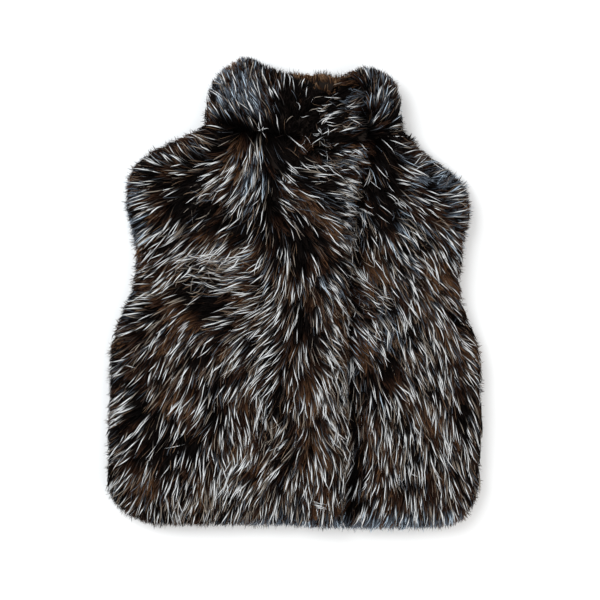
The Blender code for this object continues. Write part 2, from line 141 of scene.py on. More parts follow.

# The chance of a cool tone, a painted cool sheen, or of a pale tone where the place is at full strength, how
# much of the sheen is lost where shade is painted, and where ice starts
COOL_SHEEN_LOST_IN_SHADE = 0.5
ICE_START = 0.7
UNDER_COOL, UNDER_ICE = 0.75, 0.35
GUARD_COOL, THIN_COOL, FINE_PALE = 0.6, 0.5, 0.5
FRINGE_PALE, FRINGE_ICE_SHEEN = 0.1, 0.55
BACK_PALE = 0.06

# Places on the garment where the pile looks different
# Columns: millimetres across and up, the radii both ways, and a strength
# The cool sheen places paint a blue-grey and ice sheen of light on the collar, along the edges and at the
# hem
COOL_SHEEN_PLACES = (
    (-72, 264, 34, 34, 1.0), (-55, 240, 30, 20, 0.55), (-208, 95, 13, 55, 0.9), (104, 252, 28, 34, 0.8),
    (80, 165, 14, 34, 0.55), (74, 98, 14, 42, 0.55), (195, 150, 28, 24, 0.85), (214, 110, 14, 44, 0.8),
    (-56, 136, 17, 36, 0.8), (-40, 25, 30, 16, 0.35), (120, -302, 110, 13, 1.6), (-40, -302, 70, 10, 0.9),
    (152, 80, 24, 60, 0.4), (60, 6, 20, 12, 0.5), (108, -60, 30, 40, 0.35), (76, -120, 10, 60, 0.15),
    (-5, 128, 22, 16, 0.45),
)
BROWN_PLACES = (
    (35, -215, 22, 60, 0.9), (50, -75, 26, 26, 0.8), (20, -130, 20, 30, 0.6), (-15, 60, 14, 50, 0.6),
    (-130, -20, 26, 26, 0.4), (-165, -75, 22, 26, 0.7), (-25, 15, 18, 16, 0.7), (215, -85, 22, 34, 0.8),
    (90, 30, 14, 30, 0.7), (120, -265, 26, 22, 0.6), (-110, -255, 26, 34, 0.6), (-170, -240, 22, 26, 0.6),
    (-130, 115, 30, 22, 0.3), (-80, 150, 18, 26, 0.5), (62, 185, 12, 18, 0.8), (62, 60, 20, 34, 0.6),
    (215, 20, 18, 40, 0.6), (170, 5, 16, 34, 0.4), (-60, -185, 20, 34, 0.5), (-140, -140, 26, 30, 0.6),
    (-195, 190, 20, 14, 0.4), (150, 180, 26, 14, 0.5), (20, 40, 16, 40, 0.5), (60, -10, 12, 30, 0.7),
)
# The shaded hollow places: painted shade in the partings, hollows and under the collar, with blacker
# underfur and fewer pale hairs
SHADED_HOLLOW_PLACES = (
    (4, 215, 40, 52, 0.95), (0, 160, 28, 26, 0.7), (-41, 199, 28, 13, 0.9), (-126, -14, 30, 20, 0.9),
    (121, 110, 17, 34, 0.95), (116, 186, 20, 30, 0.9), (8, -60, 10, 60, 0.55), (-152, 125, 26, 26, 0.7),
    (-60, 78, 26, 16, 0.55), (22, 52, 26, 30, 0.5), (119, -108, 18, 28, 0.8), (-90, 205, 40, 7, 0.6),
    (-200, -160, 20, 50, 0.55), (-100, -150, 18, 40, 0.45), (172, 130, 12, 40, 0.4),
    (218, -150, 12, 50, 0.5), (-30, 120, 10, 36, 0.5), (155, -225, 18, 26, 0.35), (-185, 150, 16, 16, 0.45),
    (40, 262, 34, 12, 0.8), (2, 62, 30, 34, 0.45), (-155, -205, 42, 40, 0.55), (-110, 93, 34, 20, 0.6),
    (157, 58, 12, 16, 0.55), (104, 130, 6, 60, 0.6),
)
# The pale places: the first two, along the overlapping edge, paint a highlight on its rounded edge with more
# pale hair; the others are paler patches of the fur
PALE_AND_HIGHLIGHT_PLACES = (
    (80, 92, 11, 62, 1.0), (58, -130, 12, 72, 1.0), (-98, 34, 46, 24, 0.9), (-56, 140, 18, 44, 0.6),
    (160, -205, 70, 50, 0.4), (-80, -270, 90, 34, 0.5), (-70, -110, 40, 50, 0.3), (155, 74, 22, 60, 0.6),
    (-40, -22, 30, 22, 0.8), (-160, 150, 40, 26, 0.2), (175, -92, 34, 44, 0.5), (-72, 262, 34, 30, 0.6),
    (102, 252, 26, 26, 0.5), (-95, -225, 40, 40, 0.4), (110, -45, 26, 34, 0.3),
)
TANGLED_PLACES = (
    (25, 210, 32, 44, 1.0), (84, 40, 10, 130, 0.35), (120, 118, 18, 22, 0.5), (-105, 20, 24, 18, 0.6),
    (-100, 120, 22, 18, 0.4), (98, -4, 16, 14, 0.6),
)

# Small tufts of pale hair that stand out from the pile of a panel
# Columns: pixel across, pixel down, first and last heading in degrees, hairs, millimetres long
TUFTS = {
    "collar_front_right": ((261, 130, -60, 200, 7, 10),),
    "front_right": (
        (285, 183, 20, 170, 5, 9), (360, 208, 334, 358, 7, 17), (371, 166, 262, 284, 7, 24),
        (311, 503, 2, 20, 6, 22), (350, 150, 346, 360, 9, 18), (348, 168, 344, 358, 10, 18),
        (345, 186, 344, 358, 10, 18), (343, 204, 340, 356, 9, 17), (341, 222, 336, 352, 9, 18),
        (338, 242, 328, 346, 9, 20), (327, 283, 330, 345, 10, 27), (331, 322, 312, 328, 8, 22),
        (325, 350, 308, 322, 11, 28), (330, 374, 306, 318, 8, 24), (322, 398, 286, 302, 8, 24),
        (335, 424, 276, 296, 8, 24),
    ),
}

# The grid over the garment, where rays start, and the lowest points of paths and of strands
CELL = 0.0025
MARGIN = 0.065
RAY_START = 0.3
LOWEST = 0.001
LOWEST_VERTEX = 0.0003

# The loose triangular grid of the roots: rows apart and how far a root strays, in spacings
ROW_SPACING = 0.866
ROOT_SCATTER = 0.45

# How the locks lie: the reach of a noted direction, the share that stray and how much more these turn, how
# far they turn, curl, shorten and thin where the pile is tangled, and how far they curl and bend everywhere
FLOW_REACH = 0.014
STRAY_SHARE, STRAY_TURN = 0.04, 2.5
TANGLED_TURN, TANGLED_CURL = math.radians(34), 0.5
TANGLED_SHORTER, TANGLED_THINNER = 0.45, 0.35
CURL, BEND_TURN = 0.09, 0.1

# The strands of a lock: how late they close on its tip, their shares of its length, and their waviness
CLOSING_POWER = 1.2
STRAND_SHARES = (0.72, 1.06)
STRAND_WAVE = 0.0005

# The rim: how far a strand is drawn back or bent sideways, and how far its middle may lie outside
LEAST_FACING = 0.35
MOST_DRAWN_BACK = 0.85
MOST_BENT = 0.0012
FURTHEST_OUT = 0.0035
FURTHEST_SCATTER = 0.0012
HANG_DROP = 0.8

# The painted shade in the furrow beside the overlapping edge, and how deep the pile lies in hollows and
# under covers
FURROW_START, FURROW_WIDTH, FURROW_SHADE_STRENGTH = 0.0015, 0.0085, 0.95
HOLLOW_DEPTH, COVERED_DEPTH, PAST_TUCK = 0.003, 1.4, 1.2

# Tufts: scatter of the roots and the headings, shares of the length, turn, depths at root and tip, and bow
TUFT_SPREAD, TUFT_SCATTER, TUFT_SHARES, TUFT_TURN = 0.1, 0.05, (0.5, 1.2), 0.35
TUFT_ROOT, TUFT_TIP, TUFT_BOW = -0.003, -0.0045, 0.001
TUFT_POINTS = 5

# Where a strand lies on the palette, in widths of a tone's column and lengths of the whole
COLUMN_START, COLUMN_WIDTH = 0.06, 0.88
STRAND_PLACES, STRAND_WIDTH = 0.75, 0.22
ALONG_START, ALONG_LENGTH = 0.02, 0.96

# Height of the random fields, as a share of what their waves could reach together
WAVE_HEIGHT = 0.7

# Streaks of single hairs, in noise cells over the palette both ways
STREAKS_ACROSS = 330.0
STREAKS_ALONG = 2.5


def from_pixels(table):
    """Hair directions with their places in millimetres on the garment."""
    return [
        ((across - MIDDLE_ACROSS) * PIXEL_MM, (MIDDLE_DOWN - down) * PIXEL_MM, heading)
        for across, down, heading in table
    ]


class Waves:
    """A smooth random field, the sum of plane waves; about -1 to 1."""

    def __init__(self, seed, shortest, longest, count=14):
        source = np.random.default_rng(seed)
        angle = source.uniform(0, 2 * math.pi, count)
        length = source.uniform(shortest, longest, count)
        self.k = 2 * math.pi * np.stack([np.cos(angle), np.sin(angle)], 1) / length[:, None]
        self.phase = source.uniform(0, 2 * math.pi, count)
        self.scale = 1.0 / math.sqrt(count / 2)

    def __call__(self, x, y):
        x, y = np.asarray(x), np.asarray(y)
        total = np.zeros(x.shape)
        for (kx, ky), phase in zip(self.k, self.phase):
            total += np.cos(kx * x + ky * y + phase)
        return total * self.scale * WAVE_HEIGHT


class Field:
    """Values on a regular grid over the garment, read between its points."""

    def __init__(self, values):
        self.values = values

    def __call__(self, x, y):
        i = np.clip((np.asarray(x) - GRID_X[0]) / CELL, 0, len(GRID_X) - 1.001)
        j = np.clip((np.asarray(y) - GRID_Y[0]) / CELL, 0, len(GRID_Y) - 1.001)
        i0, j0 = i.astype(int), j.astype(int)
        a, b = i - i0, j - j0
        v = self.values
        low = v[j0, i0] * (1 - a) + v[j0, i0 + 1] * a
        high = v[j0 + 1, i0] * (1 - a) + v[j0 + 1, i0 + 1] * a
        return low * (1 - b) + high * b


GRID_X = np.arange(cad_box[0].x - MARGIN, cad_box[1].x + MARGIN, CELL)
GRID_Y = np.arange(cad_box[0].y - MARGIN, cad_box[1].y + MARGIN, CELL)


def heights(name, start, direction, missed):
    """The height at which a vertical ray first meets a node, at each grid point."""
    mesh = nodes[name].data
    tree = BVHTree.FromPolygons([v.co for v in mesh.vertices], [tuple(p.vertices) for p in mesh.polygons])
    low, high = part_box(name)
    found = np.full((len(GRID_Y), len(GRID_X)), missed)
    for j, y in enumerate(GRID_Y):
        if not low.y <= y <= high.y:
            continue
        for i, x in enumerate(GRID_X):
            if low.x <= x <= high.x:
                hit = tree.ray_cast(Vector((x, y, start)), Vector((0, 0, direction)))[0]
                if hit is not None:
                    found[j, i] = hit.z
    return found


def filled(values, drop):
    """The grid with its empty points filled from their neighbours, lower by drop each time."""
    values = values.copy()
    for _ in range(int(MARGIN / CELL) + 1):
        empty = np.isnan(values)
        if not empty.any():
            break
        padded = np.pad(values, 1, constant_values=np.nan)
        around = np.stack([padded[1 + dj : 1 + dj + values.shape[0], 1 + di : 1 + di + values.shape[1]]
                           for dj in (-1, 0, 1) for di in (-1, 0, 1) if (dj or di)])
        count = (~np.isnan(around)).sum(0)
        mean = np.where(count > 0, np.nansum(around, 0) / np.maximum(count, 1), np.nan)
        values[empty] = mean[empty] - drop
    return np.where(np.isnan(values), np.nanmin(values), values)


def neighbours(values, mode):
    """The four neighbours of each grid point."""
    padded = np.pad(values, 1, mode)
    return padded[:-2, 1:-1], padded[2:, 1:-1], padded[1:-1, :-2], padded[1:-1, 2:]


def blurred(values, times):
    for _ in range(times):
        a, b, c, d = neighbours(values, "edge")
        values = (a + b + c + d + 2 * values) / 6
    return values


def signed_distance(inside):
    """How far each grid point is inside a mask's edge; negative outside."""
    a, b, c, d = neighbours(inside, "constant")
    edge_y, edge_x = np.nonzero(inside & ~(a & b & c & d))
    away = np.empty(inside.shape)
    for j, y in enumerate(GRID_Y):
        away[j] = np.sqrt(((GRID_X[:, None] - GRID_X[edge_x]) ** 2 + (y - GRID_Y[edge_y]) ** 2).min(1))
    return np.where(inside, away + CELL / 2, CELL / 2 - away)


TOP_NODES = ("front_right", "front_left", "collar_facing", "collar_front_left", "collar_front_right")
UNDER_NODES = ("back", "collar_back")
above = np.stack([heights(name, RAY_START, -1, missed=-1.0) for name in TOP_NODES])
owner = np.where(above.max(0) > 0, above.argmax(0), -1)
pile_top = Field(blurred(filled(np.where(owner >= 0, above.max(0), np.nan), drop=0.0006), times=2))
below = np.stack([heights(name, -RAY_START, 1, missed=1.0) for name in UNDER_NODES])
under_owner = np.where(below.min(0) < 1.0, below.argmin(0), -1)
under_heights = np.where(under_owner >= 0, below.min(0), np.nan)
pile_bottom = Field(blurred(filled(under_heights, drop=-0.0002), times=1))
masks = {name: owner == number for number, name in enumerate(TOP_NODES)}
masks.update({name: under_owner == number for number, name in enumerate(UNDER_NODES)})
regions = {name: Field(signed_distance(mask)) for name, mask in masks.items()}

# How far inside the outline the backing cloth stays
CLOTH_INSET = 0.005

# Panels whose hair also starts a little way under the pieces that lie on them
TUCK = 0.01
LIES_UNDER = {
    "front_right": ("collar_front_right", "collar_front_left"),
    "front_left": ("front_right", "collar_front_right", "collar_front_left"),
    "collar_front_left": ("collar_front_right",),
    "collar_facing": ("collar_front_right", "collar_front_left"),
}
root_masks = dict(masks)
for name, covers in LIES_UNDER.items():
    covered = np.isin(owner, [TOP_NODES.index(cover) for cover in covers])
    root_masks[name] = masks[name] | (covered & (regions[name].values > -TUCK))
rim = Field(signed_distance((owner >= 0) | (under_owner >= 0)))

bend = Waves(3, 0.04, 0.09)
patch_noise = Waves(11, 0.035, 0.11)
fine_noise = Waves(12, 0.012, 0.03)
thick_noise = Waves(13, 0.016, 0.045)


def flow(table, x, y):
    """The unit direction in which the tips point, from the nearest rows of a table."""
    table = np.array(table, float)
    heading = np.radians(table[:, 2])
    away = (x[:, None] - table[:, 0] * MM) ** 2 + (y[:, None] - table[:, 1] * MM) ** 2
    weight = 1.0 / (away + FLOW_REACH**2) ** 2
    dx = (weight * np.cos(heading)).sum(1)
    dy = (weight * np.sin(heading)).sum(1)
    size = np.maximum(np.hypot(dx, dy), 1e-9)
    return dx / size, dy / size


def roots(mask, spacing, seed):
    """Points in a loose triangular grid over the cells of a mask."""
    source = np.random.default_rng(seed)
    x, y = np.meshgrid(np.arange(GRID_X[0], GRID_X[-1], spacing),
                       np.arange(GRID_Y[0], GRID_Y[-1], spacing * ROW_SPACING))
    x = x + spacing * 0.5 * (np.arange(x.shape[0]) % 2)[:, None]
    x = (x + source.uniform(-ROOT_SCATTER, ROOT_SCATTER, x.shape) * spacing).ravel()
    y = (y + source.uniform(-ROOT_SCATTER, ROOT_SCATTER, y.shape) * spacing).ravel()
    i = np.clip(np.round((x - GRID_X[0]) / CELL).astype(int), 0, len(GRID_X) - 1)
    j = np.clip(np.round((y - GRID_Y[0]) / CELL).astype(int), 0, len(GRID_Y) - 1)
    keep = mask[j, i]
    return x[keep], y[keep]


# Steps along a strand, and for each count its width from root to tip as shares of the widest
UNDER_STEPS = 3
WIDTHS = {3: (0.75, 1.0, 0.8), 4: (0.3, 0.85, 1.0, 0.62)}


def locks(table, x, y, length, wander, source, steps=UNDER_STEPS):
    """The way each lock lies from root to tip: nearly straight, as the hair lies at its middle."""
    dx, dy = flow(table, x, y)
    dx, dy = flow(table, x + 0.5 * length * dx, y + 0.5 * length * dy)
    tangled = np.clip(amount(TANGLED_PLACES, x, y), 0, 1)
    stray = np.where(source.uniform(0, 1, x.shape) < STRAY_SHARE, STRAY_TURN, 1.0)
    turn = source.normal(0, 1, x.shape) * (wander * stray + TANGLED_TURN * tangled)
    angle = np.arctan2(dy, dx) + turn + BEND_TURN * bend(x, y)
    curl = source.normal(0, 1, x.shape) * (CURL + TANGLED_CURL * tangled)
    step_length = length * (1 - TANGLED_SHORTER * tangled) / steps
    path = [np.stack([x, y], 1)]
    for step in range(steps):
        turned = angle + curl * (3 * step / steps - 1)
        path.append(path[-1] + step_length[:, None] * np.stack([np.cos(turned), np.sin(turned)], 1))
    return np.stack(path, 1)


def strands_in_locks(path, source, count, radius, closing):
    """Several strands for each lock, apart at the root and closing on the lock's tip."""
    path = np.repeat(path, count, axis=0)
    total = len(path)
    angle = source.uniform(0, 2 * math.pi, total)
    away = np.sqrt(source.uniform(0, 1, total)) * radius
    offset = np.stack([np.cos(angle), np.sin(angle)], 1) * away[:, None]
    share = np.linspace(0, 1, path.shape[1])
    tight = source.uniform(*closing, total)[:, None] * share**CLOSING_POWER
    path = path + offset[:, None, :] * (1 - tight)[..., None]
    shorter = source.uniform(*STRAND_SHARES, total)
    path = path[:, :1] + (path - path[:, :1]) * shorter[:, None, None]
    return path + source.normal(0, STRAND_WAVE, path.shape) * share[:, None]


def inwards(region, x, y):
    """The direction away from a region's edge, into it."""
    across, up = region(x + CELL, y) - region(x - CELL, y), region(x, y + CELL) - region(x, y - CELL)
    slope = np.stack([across, up], -1)
    return slope / np.maximum(np.linalg.norm(slope, axis=-1, keepdims=True), 1e-9)


def clumps(x, y, strength, least, most):
    """How much further neighbouring tips reach, in clumps."""
    return np.clip(1 + strength * fine_noise(x, y), least, most)


def drawn_back(path, source, ends, scatter, kept):
    """Strands moved back along themselves to end near the rim, and which of them to keep.

    Of those moved a share is kept, and none that would lie outside along the rim.
    """
    tip = path[:, -1]
    clump = clumps(tip[:, 0], tip[:, 1], strength=0.8, least=0.3, most=2.0)
    limit = ends + source.exponential(scatter, len(path)) * clump
    along = tip - path[:, 0]
    length = np.maximum(np.linalg.norm(along, axis=1), 1e-9)
    along /= length[:, None]
    past = np.clip(-rim(tip[:, 0], tip[:, 1]) - limit, 0, None)
    facing = -(along * inwards(rim, tip[:, 0], tip[:, 1])).sum(1)
    shift = np.minimum(past / np.maximum(facing, LEAST_FACING), MOST_DRAWN_BACK * length)
    keep = (past <= 0) | (source.uniform(0, 1, len(path)) < kept)
    path = path - (along * shift[:, None])[:, None, :]
    furthest = -rim(path[..., 0], path[..., 1]).min(1)
    keep &= furthest < FURTHEST_OUT + source.exponential(FURTHEST_SCATTER, len(path))
    return path, keep


def over_the_edge(path, region, source, ends, scatter, past_seam):
    """Strands turned down where they pass an edge: their paths, how far they hang, and which hardly bend.

    Most end at one distance from the garment's rim, and fewer and fewer reach past it as scatter says.
    """
    rim_limit = (ends + source.exponential(scatter, len(path)))[:, None]
    share = np.linspace(0, 1, path.shape[1])
    seam_limit = source.uniform(0.0, past_seam, len(path))[:, None] * share + PAST_TUCK * TUCK * (1 - share)
    hang = np.zeros(path.shape[:2])
    for field, limit in ((region, seam_limit), (rim, rim_limit)):
        x, y = path[..., 0], path[..., 1]
        past = np.clip(-field(x, y) - limit, 0, None)
        path = path + past[..., None] * inwards(field, x, y)
        hang = hang + past
    return path, hang, past.max(1) < MOST_BENT


def depths(path, start, end, risen):
    """How far along each point is, and its depth in the pile, the same from the share risen on."""
    share = np.linspace(0, 1, path.shape[1])
    rise = 1 - (1 - np.clip(share / risen, 0, 1)) ** 2
    return share, start[:, None] * (1 - rise) + end[:, None] * rise


def lifted(path, region, hang, start, end, bow):
    """The strands in space: they start deep in the pile and come up to just below its surface."""
    share, depth = depths(path, start, end, risen=0.55)
    x, y = path[..., 0], path[..., 1]
    sunk = HOLLOW_DEPTH * hollow_shade(x, y)
    sunk = sunk + COVERED_DEPTH * np.clip(-region(x, y), 0, TUCK) * (1 - share)
    z = pile_top(x, y) - depth - sunk + bow[:, None] * np.sin(math.pi * share) - HANG_DROP * hang
    return np.concatenate([path, np.maximum(z, LOWEST)[..., None]], axis=2)


def side_of(points, roll):
    """The directions across each strand at its points, rolled out of the surface."""
    along = np.gradient(points, axis=1)
    along /= np.maximum(np.linalg.norm(along, axis=2, keepdims=True), 1e-9)
    up = np.array([0.0, 0.0, 1.0])
    side = np.cross(along, up)
    side /= np.maximum(np.linalg.norm(side, axis=2, keepdims=True), 1e-9)
    normal = np.cross(side, along)
    cos, sin = np.cos(roll)[:, None, None], np.sin(roll)[:, None, None]
    return side * cos + normal * sin, normal * cos - side * sin


def placed(name, data):
    """A new object of the scene."""
    made = bpy.data.objects.new(name, data)
    bpy.context.scene.collection.objects.link(made)
    return made


def mesh_piece(name, vertices, faces_by_size, uv_by_size, material):
    """One object from arrays of vertices, faces and their corners' UVs."""
    mesh = bpy.data.meshes.new(name)
    vertices[:, 2] = np.maximum(vertices[:, 2], LOWEST_VERTEX)
    mesh.vertices.add(len(vertices))
    mesh.vertices.foreach_set("co", vertices.astype(np.float32).ravel())
    corners = np.concatenate([faces.ravel() for faces in faces_by_size])
    sizes = np.concatenate([np.full(len(faces), faces.shape[1]) for faces in faces_by_size])
    mesh.loops.add(len(corners))
    mesh.loops.foreach_set("vertex_index", corners.astype(np.int32))
    mesh.polygons.add(len(sizes))
    starts = np.concatenate([[0], np.cumsum(sizes)[:-1]])
    mesh.polygons.foreach_set("loop_start", starts.astype(np.int32))
    mesh.update(calc_edges=True)
    layer = mesh.uv_layers.new(name="OFBake")
    uv = np.concatenate([part.reshape(-1, 2) for part in uv_by_size])
    layer.data.foreach_set("uv", uv.astype(np.float32).ravel())
    mesh.validate()
    mesh.shade_smooth()
    mesh.materials.append(material)
    return placed(name, mesh)


def palette_uv(tone, source, across, along):
    """Where the strands' points are on the palette: in a tone's column, and how far along."""
    place = source.uniform(0, 1, len(tone))
    inside = COLUMN_START + COLUMN_WIDTH * (place[:, None] * STRAND_PLACES + across * STRAND_WIDTH)
    column = (tone[:, None] + inside) / len(PALETTE)
    return np.stack(np.broadcast_arrays(column, ALONG_START + ALONG_LENGTH * along), axis=2).reshape(-1, 2)


def strands(points, width, tone, roll, source, ring=2):
    """Tapered strands, flat or three-sided: a ring of vertices at each point but the tip."""
    total, steps = len(points), points.shape[1] - 1
    side, normal = side_of(points, roll)
    half = 0.5 * width[:, None, None] * np.array(WIDTHS[steps])[:, None]
    edges = []
    for k in range(ring):
        angle = 2 * math.pi * k / ring
        out = side[:, :steps] * math.cos(angle) + normal[:, :steps] * math.sin(angle)
        edges.append(points[:, :steps] + out * half)
    body = np.stack(edges, 2).reshape(total, ring * steps, 3)
    vertices = np.concatenate([body, points[:, steps:]], 1)
    count = ring * steps + 1
    base = (np.arange(total) * count)[:, None]
    quads, triangles = [], []
    for k in range(1 if ring == 2 else ring):
        after = (k + 1) % ring
        for first in range(0, ring * (steps - 1), ring):
            quads.append(base + np.array([first + k, first + after, first + ring + after, first + ring + k]))
        triangles.append(base + np.array([count - 1 - ring + k, count - 1 - ring + after, count - 1]))
    quads, triangles = np.concatenate(quads), np.concatenate(triangles)
    across = np.append(np.tile(np.linspace(0, 1, ring), steps), 0.5)
    along = np.repeat(np.linspace(0, 1, steps + 1), ring)[:count]
    uv = palette_uv(tone, source, across, along)
    return vertices.reshape(-1, 3), [quads, triangles], [uv[quads], uv[triangles]]


def amount(places, x, y):
    """How strong the listed places are at each point: full at a centre, fading round it."""
    total = np.zeros(np.shape(x))
    for across, up, radius_across, radius_up, strength in places:
        away = ((x / MM - across) / radius_across) ** 2 + ((y / MM - up) / radius_up) ** 2
        total += strength * np.exp(-away)
    return total


def hollow_shade(x, y):
    """How far the pile lies in a hollow or in the furrow beside the overlapping edge: the pile sinks there,
    and shade is painted into its tones and growth.
    """
    past_edge = -regions["front_right"](x, y) - FURROW_START
    furrow = np.where(past_edge > 0, np.exp(-((past_edge / FURROW_WIDTH) ** 2)), 0.0)
    return np.clip(amount(SHADED_HOLLOW_PLACES, x, y) + FURROW_SHADE_STRENGTH * furrow, 0, 1)


def picked(x, source, shares, last):
    """A tone drawn for each strand: shares up to each bound, and the last tone for the rest."""
    roll = source.uniform(0, 1, x.shape)
    return np.select([roll < bound for bound in shares.values()], list(shares), last)


def retoned(tone, chance, new, source):
    """Gives some strands another tone, each with its own chance."""
    tone[source.uniform(0, 1, tone.shape) < chance] = new
    return tone


def under_tones(x, y, source):
    """Tones of the underfur: black and brown patches, blacker where shade is painted, and a painted cool
    sheen of grey and ice.
    """
    roll = source.uniform(0, 1, x.shape) - 0.5
    painted_shade = hollow_shade(x, y)
    level, patches, speckles, browner, less_in_shade = BROWNNESS
    brown = level + patches * patch_noise(x, y) + speckles * fine_noise(x, y)
    brown = brown + browner * amount(BROWN_PLACES, x, y) - less_in_shade * painted_shade
    tone = np.full(x.shape, BLACK)
    for new, start, blend in BROWN_STARTS:
        tone[brown + blend * roll > start] = new
    cool_sheen = amount(COOL_SHEEN_PLACES, x, y)
    tone = retoned(tone, np.clip(cool_sheen - COOL_SHEEN_LOST_IN_SHADE * painted_shade, 0, 1) * UNDER_COOL, BLUE_GREY, source)
    return retoned(tone, np.clip(cool_sheen - ICE_START, 0, 1) * UNDER_ICE, ICE, source)


def guard_tones(x, y, source):
    """Tones of the guard hairs: white or cream, and ice where a cool sheen is painted."""
    tone = picked(x, source, {WHITE: 0.82}, CREAM)
    return retoned(tone, amount(COOL_SHEEN_PLACES, x, y) * GUARD_COOL, ICE, source)


def thin_tones(x, y, source):
    """Tones of the thin hairs between them."""
    tone = picked(x, source, {WHITE: 0.28, CREAM: 0.58, TAN: 0.76}, BLUE_GREY)
    # Blue-grey where a cool sheen is painted
    return retoned(tone, amount(COOL_SHEEN_PLACES, x, y) * THIN_COOL, BLUE_GREY, source)


def fine_tones(x, y, source):
    """Tones of the fine hairs in between: mostly grey and brown."""
    tone = picked(x, source, {CREAM: 0.06, BLUE_GREY: 0.21, TAN: 0.36, BROWN: 0.64}, DARK_BROWN)
    # Cream in the pale places, partly a painted highlight along the overlapping edge
    tone = retoned(tone, np.clip(amount(PALE_AND_HIGHLIGHT_PLACES, x, y), 0, 1) * FINE_PALE, CREAM, source)
    # Blue-grey where a cool sheen is painted
    return retoned(tone, amount(COOL_SHEEN_PLACES, x, y) * THIN_COOL, BLUE_GREY, source)


def facing_tones(x, y, source):
    """Tones of the messy brown pile inside the collar."""
    return picked(x, source, {DARK_BROWN: 0.25, BROWN: 0.68}, TAN)


def scaled(tree, value, factor):
    """A value of a material times a fixed factor."""
    node = tree.nodes.new("ShaderNodeMath")
    node.operation = "MULTIPLY"
    node.inputs[1].default_value = factor
    tree.links.new(value, node.inputs[0])
    return node.outputs[0]


def range_node(tree, value, start, end, low, high, smooth=False):
    """A map range node from start..end to low..high."""
    node = tree.nodes.new("ShaderNodeMapRange")
    if smooth:
        node.interpolation_type = "SMOOTHSTEP"
    for label, number in (("From Min", start), ("From Max", end), ("To Min", low), ("To Max", high)):
        node.inputs[label].default_value = number
    tree.links.new(value, node.inputs["Value"])
    return node.outputs["Result"]


def palette_ramp(tree, value, part):
    """The palette's colours for one part of the hair, one flat stop for each tone."""
    node = tree.nodes.new("ShaderNodeValToRGB")
    node.color_ramp.interpolation = "CONSTANT"
    stops = node.color_ramp.elements
    while len(stops) < len(PALETTE):
        stops.new(1.0)
    for number, row in enumerate(PALETTE):
        stops[number].position = number / len(PALETTE)
        stops[number].color = (*row[part], 1.0)
    tree.links.new(value, node.inputs["Fac"])
    return node.outputs["Color"]


def new_material(name, roughness, specular):
    """A material, its node tree and its shader."""
    material = bpy.data.materials.new(name)
    material.use_nodes = True
    shader = material.node_tree.nodes["Principled BSDF"]
    shader.inputs["Roughness"].default_value = roughness
    shader.inputs["Specular IOR Level"].default_value = specular
    return material, material.node_tree, shader


def hair_material(name, streak, roughness, specular):
    """Hair coloured by its place on the palette, with fine lengthwise streaks."""
    material, tree, shader = new_material(name, roughness, specular)
    make, link = tree.nodes.new, tree.links.new
    uv = make("ShaderNodeUVMap")
    uv.uv_map = "OFBake"
    split = make("ShaderNodeSeparateXYZ")
    link(uv.outputs["UV"], split.inputs["Vector"])
    across, along = split.outputs["X"], split.outputs["Y"]
    streak_place = make("ShaderNodeCombineXYZ")
    link(scaled(tree, across, STREAKS_ACROSS), streak_place.inputs["X"])
    link(scaled(tree, along, STREAKS_ALONG), streak_place.inputs["Y"])
    streaks = make("ShaderNodeTexNoise")
    streaks.inputs["Scale"].default_value = 1.0
    streaks.inputs["Detail"].default_value = 2.0
    link(streak_place.outputs["Vector"], streaks.inputs["Vector"])
    place = make("ShaderNodeMath")
    place.operation = "ADD"
    link(along, place.inputs[0])
    ragged = range_node(tree, streaks.outputs["Fac"], start=0.3, end=0.7, low=-0.13, high=0.13)
    link(ragged, place.inputs[1])
    colour = palette_ramp(tree, across, 0)
    for part, start, end in ((1, 0.22, 0.58), (2, 0.58, 0.95)):
        mix = make("ShaderNodeMix")
        mix.data_type = "RGBA"
        link(range_node(tree, place.outputs[0], start, end, 0.0, 1.0, smooth=True), mix.inputs["Factor"])
        link(colour, mix.inputs["A"])
        link(palette_ramp(tree, across, part), mix.inputs["B"])
        colour = mix.outputs["Result"]
    shade = make("ShaderNodeVectorMath")
    shade.operation = "SCALE"
    link(colour, shade.inputs[0])
    bright = range_node(tree, streaks.outputs["Fac"], start=0.25, end=0.75, low=streak[0], high=streak[1])
    link(bright, shade.inputs["Scale"])
    link(shade.outputs["Vector"], shader.inputs["Base Color"])
    return material


def cloth_material():
    """The dark backing cloth between the hairs."""
    material, tree, shader = new_material("faux_fur_backing", roughness=0.9, specular=0.15)
    make, link = tree.nodes.new, tree.links.new
    where = make("ShaderNodeTexCoord")
    noise = make("ShaderNodeTexNoise")
    noise.inputs["Scale"].default_value = 160.0
    noise.inputs["Detail"].default_value = 4.0
    ramp = make("ShaderNodeValToRGB")
    ramp.color_ramp.elements[0].color = (0.003, 0.002, 0.0015, 1.0)
    ramp.color_ramp.elements[1].color = (0.016, 0.01, 0.007, 1.0)
    link(where.outputs["Object"], noise.inputs["Vector"])
    link(noise.outputs["Fac"], ramp.inputs["Fac"])
    link(ramp.outputs["Color"], shader.inputs["Base Color"])
    bump = make("ShaderNodeBump")
    bump.inputs["Distance"].default_value = 0.001
    bump.inputs["Strength"].default_value = 0.5
    link(noise.outputs["Fac"], bump.inputs["Height"])
    link(bump.outputs["Normal"], shader.inputs["Normal"])
    return material


UNDERFUR = hair_material("faux_fur_underfur", streak=(0.3, 1.75), roughness=0.55, specular=0.02)
GUARD_HAIR = hair_material("faux_fur_guard_hair", streak=(0.8, 1.15), roughness=0.45, specular=0.25)
CLOTH = cloth_material()

# The share of the underfur's strands with a tone of their own, and of the strong hairs that have a twin
OWN_TONE_SHARE = 0.4
TWIN_SHARE = 0.35

